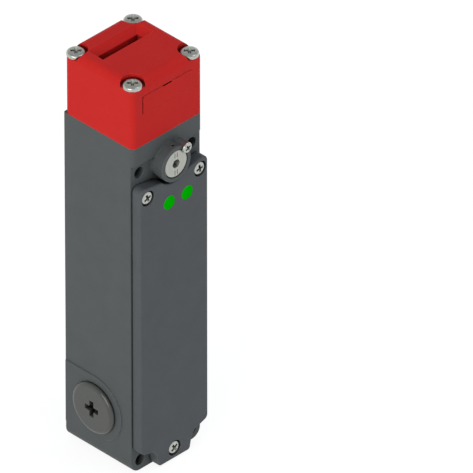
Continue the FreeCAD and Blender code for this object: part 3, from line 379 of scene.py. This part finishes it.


# nickel-plated turned part: lathe rings round the dial's axis and soft stains break up its shine, and painted
# shade darkens its socket and marks
nickelLook = {
    "dark": "9EA098", "light": "C0C2B9", "metallic": 0.85, "roughLow": 0.34, "roughHigh": 0.5,
    "axisHeight": 72.1,
    "ringPitch": 3.77,  # tool marks of 0.1, drawn far coarser to show
    "ringHeight": 0.02, "ringStrength": 0.25, "sway": 1.2, "swaySize": 0.072,
    "stainSize": 2.2, "baseLevel": 0.3, "ringShare": 0.35, "stainShare": 0.2,  # of the way from dark to light
    "creviceReach": 2.0, "creviceStart": 0.25, "creviceEnd": 0.85, "creviceShade": 0.05,
}


def turnedNickel(name, look):
    material = bpy.data.materials.new(name)
    tree = emptyTree(material)
    place = addNode(tree, "TexCoord").outputs["Object"]
    centred = addNode(tree, "Mapping", {"Location": (0, 0, -look["axisHeight"] * mm)}, {"Vector": place})
    scale = bandScale(look["ringPitch"])
    rings = addNode(tree, "TexWave", {"wave_type": "RINGS", "rings_direction": "Y", "wave_profile": "SIN",
                                      "Scale": scale, "Distortion": look["sway"], "Detail": 1.0,
                                      "Detail Scale": perMetre(look["swaySize"]) / scale},
                    {"Vector": centred}).outputs["Fac"]
    stain = addNode(tree, "TexNoise", {"Scale": perMetre(look["stainSize"]), "Detail": 3.0},
                    {"Vector": place})
    tone = addNode(tree, "Math", {"operation": "MULTIPLY_ADD", 1: look["ringShare"],
                                  2: look["baseLevel"]}, {0: rings})
    tone = addNode(tree, "Math", {"operation": "MULTIPLY_ADD", 1: look["stainShare"]}, {0: stain, 2: tone})
    colour = addNode(tree, "Mix", {"data_type": "RGBA", 6: hexColour(look["dark"]),
                                   7: hexColour(look["light"])}, {0: tone}).outputs[2]
    colour = paintCreviceShade(tree, look, colour)
    rough = addNode(tree, "MapRange", {"To Min": look["roughLow"], "To Max": look["roughHigh"]},
                    {"Value": rings})
    bump = addNode(tree, "Bump", {"Strength": look["ringStrength"], "Distance": look["ringHeight"] * mm},
                   {"Height": rings})
    shader = addNode(tree, "BsdfPrincipled", {"Metallic": look["metallic"]},
                     {"Base Color": colour, "Roughness": rough, "Normal": bump})
    addNode(tree, "OutputMaterial", {}, {"Surface": shader})
    return material


# dyed polycarbonate over a lit lamp: an even green that glows a little and has hardly a highlight
lensLook = {
    "dark": "009600", "light": "00BA00", "glow": 0.2, "cloudSize": 1.3, "roughness": 0.22, "specular": 0.0,
}


def lampLens(name, look):
    material = bpy.data.materials.new(name)
    tree = emptyTree(material)
    place = addNode(tree, "TexCoord").outputs["Object"]
    cloud = addNode(tree, "TexNoise", {"Scale": perMetre(look["cloudSize"]), "Detail": 1.0},
                    {"Vector": place})
    colour = addNode(tree, "Mix", {"data_type": "RGBA", 6: hexColour(look["dark"]),
                                   7: hexColour(look["light"])}, {0: cloud}).outputs[2]
    shader = addNode(tree, "BsdfPrincipled", {"Roughness": look["roughness"],
                                              "Specular IOR Level": look["specular"],
                                              "Emission Color": hexColour(look["light"]),
                                              "Emission Strength": look["glow"]}, {"Base Color": colour})
    addNode(tree, "OutputMaterial", {}, {"Surface": shader})
    return material


# solder mask over glass cloth: a green film with a faint square weave under it
boardLook = {
    "dark": "0F4A2A", "light": "1B6238", "roughness": 0.35,
    "thread": 5.027,  # glass yarn of 0.5, drawn coarser to show
}


def solderMask(name, look):
    material = bpy.data.materials.new(name)
    tree = emptyTree(material)
    place = addNode(tree, "TexCoord").outputs["Object"]
    across, along = [addNode(tree, "TexWave", {"bands_direction": axis, "Scale": bandScale(look["thread"])},
                             {"Vector": place}).outputs["Fac"] for axis in "XZ"]
    weave = addNode(tree, "Math", {"operation": "MULTIPLY"}, {0: across, 1: along})
    colour = addNode(tree, "Mix", {"data_type": "RGBA", 6: hexColour(look["dark"]),
                                   7: hexColour(look["light"])}, {0: weave}).outputs[2]
    shader = addNode(tree, "BsdfPrincipled", {"Roughness": look["roughness"]}, {"Base Color": colour})
    addNode(tree, "OutputMaterial", {}, {"Surface": shader})
    return material


finishes = {
    "grey_housing": grainedFinish("powderCoatedCasting", greyCoat),
    "grey_cover": grainedFinish("powderCoatedCover", coverCoat),
    "red_head": grainedFinish("redPowderCoatedCasting", redCoat),
    "red_plug": grainedFinish("mouldedRedNylon", redNylon),
    "grey_plug": grainedFinish("mouldedGreyNylon", greyNylon),
    "black_seal": grainedFinish("nitrileRubber", nitrileRubber),
    "zinc_screw": grainedFinish("zincPlatedScrewSteel", zincPlate),
    "nickel_dial": turnedNickel("turnedNickelPlate", nickelLook),
    "green_lens": lampLens("greenPolycarbonate", lensLook),
    "steel_part": grainedFinish("rolledSheetSteel", rolledSteel),
    "rotor_metal": grainedFinish("dieCastZinc", castZinc),
    "carrier_plastic": grainedFinish("mouldedBlackNylon", blackNylon),
    "coil_copper": enamelledWire("enamelledCopperWire", wireLook),
    "bobbin_plastic": grainedFinish("naturalBobbinNylon", bobbinNylon),
    "contact_brass": grainedFinish("stampedBrassStrip", stripBrass),
    "slider_plastic": grainedFinish("naturalAcetal", acetalNatural),
    "block_plastic": grainedFinish("thermosetBlock", thermosetBlock),
    "circuit_board": solderMask("greenSolderMask", boardLook),
}

for part in frame["record"]["subparts"]:
    node, finish = nodes[part["node"]], finishes[part["material_slot"]]
    if not node.material_slots:
        node.data.materials.append(finish)
    for held in node.material_slots:
        held.material = finish
print("finishes made and given to the nodes:", len(finishes))


# each piece is made at the origin with its top upwards, and then put in place

upwards = Matrix.Identity(4)
forwards = Matrix.Rotation(math.radians(90), 4, "X")  # turns a piece's top towards -Y
leftwards = Matrix.Rotation(math.radians(-90), 4, "Y")
rightwards = Matrix.Rotation(math.radians(90), 4, "Y")


def placeAt(x, y, z, facing=upwards, turn=0.0):
    spot = Matrix.Scale(mm, 4) @ Matrix.Translation((x, y, z))
    return spot @ facing @ Matrix.Rotation(math.radians(turn), 4, "Z")


def direction(degrees):
    return Vector((math.cos(math.radians(degrees)), math.sin(math.radians(degrees)), 0))


def spunMesh(profile, steps):
    mesh = bmesh.new()
    corners = [mesh.verts.new((radius, 0, height)) for radius, height in profile]
    edges = [mesh.edges.new(pair) for pair in zip(corners, corners[1:])]
    bmesh.ops.spin(mesh, geom=corners + edges, cent=(0, 0, 0), axis=(0, 0, 1), angle=math.tau,
                   steps=steps, use_merge=True)
    bmesh.ops.remove_doubles(mesh, verts=mesh.verts, dist=1e-4)
    bmesh.ops.recalc_face_normals(mesh, faces=mesh.faces)
    return mesh


def cutFaces(mesh, planes, above):
    # cuts the faces over a height along upright planes, given as distance and direction in degrees
    for distance, degrees in planes:
        normal = direction(degrees)
        top = [f for f in mesh.faces if f.calc_center_median().z > above]
        geometry = set(top) | {e for f in top for e in f.edges} | {v for f in top for v in f.verts}
        bmesh.ops.bisect_plane(mesh, geom=list(geometry), dist=1e-4, plane_co=normal * distance,
                               plane_no=normal)


def facesOver(mesh, above, within, upright=0.9):
    # the faces over a height that look upwards and whose middle passes the test
    spots = [(f, f.calc_center_median()) for f in mesh.faces if f.normal.z > upright]
    return [f for f, spot in spots if spot.z > above and within(spot)]


def sink(mesh, chosen, floor, shrink):
    # pushes the chosen faces down to a flat floor, drawn in towards the middle for a tapered wall
    made = bmesh.ops.extrude_face_region(mesh, geom=chosen)["geom"]
    bmesh.ops.delete(mesh, geom=chosen, context="FACES")
    lowered = [v for v in made if isinstance(v, bmesh.types.BMVert)]
    middle = sum((v.co for v in lowered), Vector()) / len(lowered)
    bmesh.ops.scale(mesh, vec=(shrink, shrink, 0), space=Matrix.Translation(-middle), verts=lowered)
    bmesh.ops.translate(mesh, vec=(0, 0, floor - middle.z), verts=lowered)


def sinkCross(mesh, size, top, above):
    half, arm = size["crossLength"] / 2, size["crossWidth"] / 2
    sides = [(side * reach, degrees) for reach in (half, arm) for side in (-1, 1) for degrees in (0, 90)]
    cutFaces(mesh, sides, above)

    def inCross(spot):
        near, far = sorted((abs(spot.x), abs(spot.y)))
        return far < half and near < arm
    cross = facesOver(mesh, above, inCross, size["domeLean"])
    sink(mesh, cross, top - size["crossDepth"], size["crossTaper"])


threadShape = {"crestStart": 0.25, "crestWidth": 0.12, "rootAt": 0.5}  # shares of the pitch


def threadProfile(radius, depth, start, end, pitch, shape=threadShape):
    # crests and roots from one height down to another
    points = []
    for turn in range(int(abs(end - start) / pitch)):
        crest = start - pitch * (turn + shape["crestStart"])
        points += [(radius, crest), (radius, crest - pitch * shape["crestWidth"]),
                   (radius - depth, crest - pitch * shape["rootAt"])]
    return points


def placedCopies(mesh, places):
    shape = bpy.data.meshes.new("copiedShape")
    mesh.to_mesh(shape)
    mesh.free()
    whole = bmesh.new()
    for place in places:
        before = len(whole.verts)
        whole.from_mesh(shape)
        whole.verts.ensure_lookup_table()
        bmesh.ops.transform(whole, matrix=place, verts=whole.verts[before:])
    bpy.data.meshes.remove(shape)
    return whole


def finishPiece(mesh, name, body, slotName, standsFor=(), sharpAngle=35.0):
    for edge in mesh.edges:
        edge.smooth = edge.calc_face_angle(0.0) < math.radians(sharpAngle)
    for face in mesh.faces:
        face.smooth = True
    data = bpy.data.meshes.new(name)
    mesh.to_mesh(data)
    mesh.free()
    data.materials.append(finishes[slotName])
    piece = bpy.data.objects.new(name, data)
    flats = piece.modifiers.new("flatFaces", "WEIGHTED_NORMAL")  # keeps large flats flat beside rounded edges
    flats.keep_sharp = True
    bpy.context.scene.collection.objects.link(piece)
    if body:
        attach(piece, body)
    if standsFor:
        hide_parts(*standsFor)
    return piece


housingBody = "housing"

headScrew = {
    "headRadius": 4.0, "headHeight": 2.1, "shankRadius": 1.95, "length": 36.7, "pitch": 0.7,
    "threadDepth": 0.3, "crossLength": 4.8, "crossWidth": 1.4, "crossDepth": 1.6, "steps": 48,
    "places": [(-16.3, -3.7, 114.0), (16.3, -3.7, 114.0), (-16.3, -36.3, 114.0), (16.3, -36.3, 114.0)],
    "facing": upwards, "turns": (45, 45, 45, 45),
}
coverScrew = {
    "headRadius": 3.1, "headHeight": 2.1, "shankRadius": 1.45, "length": 12.0, "pitch": 0.5,
    "threadDepth": 0.22, "crossLength": 3.9, "crossWidth": 1.15, "crossDepth": 1.7, "steps": 48,
    "places": [(-15.0, -41.5, 61.6), (15.0, -41.5, 61.6), (0.0, -41.5, -71.2)],
    "facing": forwards, "turns": (20, 10, 35),
}
rimScrew = {
    "headRadius": 2.4, "headHeight": 1.5, "shankRadius": 0.95, "length": 4.5, "pitch": 0.4,
    "threadDepth": 0.16, "crossLength": 2.9, "crossWidth": 0.9, "crossDepth": 1.2, "steps": 40,
    "places": [(5.248, -45.2, 78.138)], "facing": forwards, "turns": (30,),
}
screwShape = {  # shared by the three kinds
    "dome": [(0, 1.0), (0.55, 0.985), (0.76, 0.94), (0.88, 0.86), (0.95, 0.75), (0.99, 0.62), (1.0, 0.5),
             (1.0, 0.05), (0.98, 0.0)],  # shares of the head's radius and height
    "plainShare": 0.3,  # of the length, left smooth under the head
    "tipLength": 0.3, "tipShare": 0.7,  # the tip's width is a share of the shank's
    "crownShare": 0.8,  # of the head's height, over which the cross is cut
    "crossTaper": 0.62, "domeLean": 0.2,  # faces of the crown this upright still belong to the cross
}


def screwMesh(size):
    rim, rise, shank, length = size["headRadius"], size["headHeight"], size["shankRadius"], size["length"]
    profile = [(rim * r, rise * h) for r, h in size["dome"]] + [(shank, 0.0)]
    profile += threadProfile(shank, size["threadDepth"], -length * size["plainShare"],
                             -length + size["tipLength"], size["pitch"])
    profile += [(shank * size["tipShare"], -length), (0, -length)]
    mesh = spunMesh(profile, size["steps"])
    sinkCross(mesh, size, rise, rise * size["crownShare"])
    return mesh


for screw, name, node in ((headScrew, "headScrews", "head_screws"),
                          (coverScrew, "coverScrews", "cover_screws"),
                          (rimScrew, "rimScrew", "release_lock_screw")):
    places = [placeAt(*spot, screw["facing"], turn) for spot, turn in zip(screw["places"], screw["turns"])]
    screws = placedCopies(screwMesh(dict(screwShape, **screw)), places)
    finishPiece(screws, name, housingBody, "zinc_screw", [node])
print("screws are in")

dial = {
    "radius": 6.5, "thickness": 2.6, "bevel": 0.5, "bevelDrop": 0.35, "axisHeight": 72.1, "face": -44.9,
    "shaftRadius": 4.0, "grooveRadius": 3.4, "grooveStart": 10.5, "grooveEnd": 11.2, "shaftEnd": 11.5,
    "hexFlats": 3.8, "hexDepth": 2.4, "hexTaper": 0.97,
    "markSpacing": 1.3, "markWidth": 0.3, "markStart": 3.0, "markEnd": 5.4, "markDepth": 0.4,
    "markTaper": 0.96, "steps": 96,
    "skin": -0.1,  # the flat face is all that lies over this height
}


def dialMesh(size):
    rim, shaft, neck, skin = size["radius"], size["shaftRadius"], size["grooveRadius"], size["skin"]
    profile = [(0, 0), (rim - size["bevel"], 0), (rim, -size["bevelDrop"]), (rim, -size["thickness"]),
               (shaft, -size["thickness"]), (shaft, -size["grooveStart"]), (neck, -size["grooveStart"]),
               (neck, -size["grooveEnd"]), (shaft, -size["grooveEnd"]), (shaft, -size["shaftEnd"]),
               (0, -size["shaftEnd"])]
    mesh = spunMesh(profile, size["steps"])
    flats = [(size["hexFlats"] / 2, 30 + 60 * n) for n in range(6)]
    cutFaces(mesh, flats, skin)
    socket = facesOver(mesh, skin, lambda spot: all(spot.dot(direction(a)) < d for d, a in flats))
    sink(mesh, socket, -size["hexDepth"], size["hexTaper"])
    near, far = [(size["markSpacing"] + side * size["markWidth"]) / 2 for side in (-1, 1)]
    start, end = size["markStart"], size["markEnd"]
    cutFaces(mesh, [(side * reach, 0) for side in (-1, 1) for reach in (near, far)], skin)
    cutFaces(mesh, [(side * reach, 90) for side in (-1, 1) for reach in (start, end)], skin)
    for across, along in ((-1, -1), (-1, 1), (1, -1), (1, 1)):
        mark = facesOver(mesh, skin,
                         lambda spot: near < across * spot.x < far and start < along * spot.y < end)
        sink(mesh, mark, -size["markDepth"], size["markTaper"])
    return mesh


dialPlace = placeAt(0, dial["face"], dial["axisHeight"], forwards)
finishPiece(placedCopies(dialMesh(dial), [dialPlace]), "releaseDial", "dial", "nickel_dial", ["release_dial"])
print("release dial is in")

conduitPlug = {
    "flange": 11.9, "thickness": 1.6, "edgeReach": 2.0, "edgeDrop": 1.35, "edgeSteps": 8, "neck": 9.2,
    "length": 7.5, "hollow": 6.25, "endWall": 3.0, "pitch": 1.5, "threadDepth": 0.7,
    "threadStart": 0.4, "threadEnd": 7.3, "crossLength": 7.8, "crossWidth": 2.4, "crossDepth": 3.0,
    "crossTaper": 0.8, "domeLean": 0.2, "skin": 0.05,
    "seat": 20.95, "height": -53.3, "depth": -17.9, "steps": 96,
    "sides": {"Left": (-1, leftwards, 0.0), "Right": (1, rightwards, 25.0)},  # with the cross's turn
}


def plugMesh(size):
    rim, top, neck, length = size["flange"], size["thickness"], size["neck"], size["length"]
    bend = [math.radians(n * 90 / size["edgeSteps"]) for n in range(size["edgeSteps"] + 1)]
    profile = [(0, top)] + [(rim - size["edgeReach"] * (1 - math.sin(a)),
                             top - size["edgeDrop"] * (1 - math.cos(a))) for a in bend]
    profile += [(rim, 0), (neck, 0)]
    profile += threadProfile(neck, size["threadDepth"], -size["threadStart"], -size["threadEnd"],
                             size["pitch"])
    profile += [(neck - size["threadDepth"], -length), (size["hollow"], -length),
                (size["hollow"], -size["endWall"]), (0, -size["endWall"])]
    mesh = spunMesh(profile, size["steps"])
    sinkCross(mesh, size, top, top - size["skin"])
    return mesh


for name, (side, facing, turn) in conduitPlug["sides"].items():
    place = placeAt(side * conduitPlug["seat"], conduitPlug["depth"], conduitPlug["height"], facing, turn)
    finishPiece(placedCopies(plugMesh(conduitPlug), [place]), "conduitPlug" + name, housingBody, "grey_plug",
                ["conduit_plug_" + name.lower()])
print("conduit plugs are in")

entryThread = {
    "bore": 9.3, "crest": 8.55, "pitch": 1.5, "mouth": -77.2, "depth": 7.9, "depthFromFront": -17.9,
    "rootGap": 0.06,  # how far a root stays inside the bore's wall
    "rootAt": 0.1, "crestStart": 0.5, "crestEnd": 0.62, "lastRoot": 0.15,  # shares of the pitch
    "steps": 72,
}


def entryThreadMesh(size):
    inner, outer, pitch = size["crest"], size["bore"], size["pitch"]
    root = outer - size["rootGap"]
    count = int(size["depth"] / pitch)
    profile = [(outer, 0.0)]
    for turn in range(count):
        profile += [(root, pitch * (turn + size["rootAt"])), (inner, pitch * (turn + size["crestStart"])),
                    (inner, pitch * (turn + size["crestEnd"]))]
    profile += [(root, pitch * (count + size["rootAt"])), (outer, pitch * (count + size["lastRoot"]))]
    return spunMesh(profile + [profile[0]], size["steps"])


threadPlace = placeAt(0, entryThread["depthFromFront"], entryThread["mouth"])
threadRidges = placedCopies(entryThreadMesh(entryThread), [threadPlace])
finishPiece(threadRidges, "bottomEntryThread", housingBody, "grey_housing")
print("bottom entry's thread is in")

slotPlug = {
    "left": -13.7, "right": 13.95, "low": -4.35, "high": 4.35, "notch": (-2.6, 2.9), "notchDepth": 0.6,
    "edge": 0.35, "edgeDrop": 0.25, "slabDepth": 0.26, "waistDepth": 3.0, "waist": 0.78,
    "waistHeight": 0.33, "tongue": 7.0, "face": -40.0, "height": 105.3,
}


def slotPlugMesh(size):
    # a notched slab with bevelled edges, which narrows to a waist and widens again to its tongue
    mesh = bmesh.new()
    left, right, low, high = size["left"], size["right"], size["low"], size["high"]
    start, end = size["notch"]
    floor = high - size["notchDepth"]
    outline = [(left, low), (right, low), (right, high), (end, high), (end, floor), (start, floor),
               (start, high), (left, high)]
    face = mesh.faces.new([mesh.verts.new((x, y, 0)) for x, y in outline])
    bmesh.ops.inset_region(mesh, faces=[face], thickness=size["edge"])
    rim = [v for v in mesh.verts if len(v.link_faces) == 2]
    bmesh.ops.translate(mesh, vec=(0, 0, -size["edgeDrop"]), verts=rim)
    border = [e for e in mesh.edges if e.is_boundary]
    stages = [(1, 1, size["slabDepth"]), (size["waist"], size["waistHeight"], size["waistDepth"]),
              (1, 1, size["tongue"])]
    for wide, tall, depth in stages:
        made = bmesh.ops.extrude_edge_only(mesh, edges=border)["geom"]
        lowered = [v for v in made if isinstance(v, bmesh.types.BMVert)]
        border = [e for e in made if isinstance(e, bmesh.types.BMEdge)]
        bmesh.ops.scale(mesh, vec=(wide, tall, 1), verts=lowered)
        bmesh.ops.translate(mesh, vec=(0, 0, -depth - lowered[0].co.z), verts=lowered)
    bmesh.ops.contextual_create(mesh, geom=[e for e in mesh.edges if e.is_boundary])
    bmesh.ops.recalc_face_normals(mesh, faces=mesh.faces)
    return mesh


plugPlace = placeAt(0, slotPlug["face"], slotPlug["height"], forwards)
finishPiece(placedCopies(slotPlugMesh(slotPlug), [plugPlace]), "frontSlotPlug", housingBody, "red_plug",
            ["front_slot_plug"])
print("front slot plug is in")

lampWindow = {
    "radius": 3.15, "face": -43.8, "depth": 2.5, "lipRadius": 4.1, "lip": 0.8, "crown": 0.28,
    "arch": [(0, 1), (0.35, 0.93), (0.62, 0.74), (0.82, 0.45), (0.94, 0.17)],  # shares of radius and crown
    "rimDrop": 0.1, "height": 53.6, "across": {"Left": -2.8, "Right": 7.5}, "steps": 64,
}


def windowMesh(size):
    edge, lip, under = size["radius"], size["lipRadius"], -size["depth"] - size["lip"]
    profile = [(edge * r, size["crown"] * h) for r, h in size["arch"]] + [(edge, -size["rimDrop"])]
    profile += [(edge, -size["depth"]), (lip, -size["depth"]), (lip, under), (0, under)]
    return spunMesh(profile, size["steps"])


for name, x in lampWindow["across"].items():
    place = placeAt(x, lampWindow["face"], lampWindow["height"], forwards)
    finishPiece(placedCopies(windowMesh(lampWindow), [place]), "lampWindow" + name, housingBody, "green_lens",
                ["led_window_" + name.lower()])
print("lamp windows are in")

# wire springs have to follow a moving part at one end; each is made in place here without a body
armatureSpring = {
    "name": "armatureCoil", "node": "armature_spring", "body": "plunger_core", "radius": 6.2, "wire": 0.8,
    "turns": 4.5, "low": 48.85, "high": 56.75,
}
returnSpring = {
    "name": "contactReturnCoil", "node": "contact_return_spring", "body": "plunger", "radius": 2.0,
    "wire": 0.6, "turns": 6.0, "low": -38.65, "high": -27.25,
}
springShape = {"endTurns": 0.8, "depth": -20.2, "ringSteps": 24, "wireSteps": 10, "sharpAngle": 60.0}


def coilMesh(size):
    # the wire's round section spun upwards: closed end turns, and open ones that share the rest of the height
    wire, ends = size["wire"], size["endTurns"]
    openRise = size["high"] - size["low"] - wire - 2 * ends * wire
    mesh = bmesh.new()
    start = Matrix.Translation((size["radius"], 0, size["low"] + wire / 2)) @ forwards
    bmesh.ops.create_circle(mesh, segments=size["wireSteps"], radius=wire / 2, matrix=start)
    ring = mesh.verts[:] + mesh.edges[:]
    for turns, rise in ((ends, ends * wire), (size["turns"] - 2 * ends, openRise), (ends, ends * wire)):
        steps = round(turns * size["ringSteps"])
        ring = bmesh.ops.spin(mesh, geom=ring, cent=(0, 0, 0), axis=(0, 0, 1), dvec=(0, 0, rise / steps),
                              angle=math.tau * turns, steps=steps)["geom_last"]
    bmesh.ops.holes_fill(mesh, edges=[e for e in mesh.edges if e.is_boundary], sides=0)
    bmesh.ops.recalc_face_normals(mesh, faces=mesh.faces)
    return mesh


for spring in (dict(springShape, **armatureSpring), dict(springShape, **returnSpring)):
    coil = finishPiece(placedCopies(coilMesh(spring), [placeAt(0, spring["depth"], 0)]), spring["name"], None,
                       "steel_part", [spring["node"]], spring["sharpAngle"])
    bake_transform(coil)
print("springs are in")


print("scene is ready")
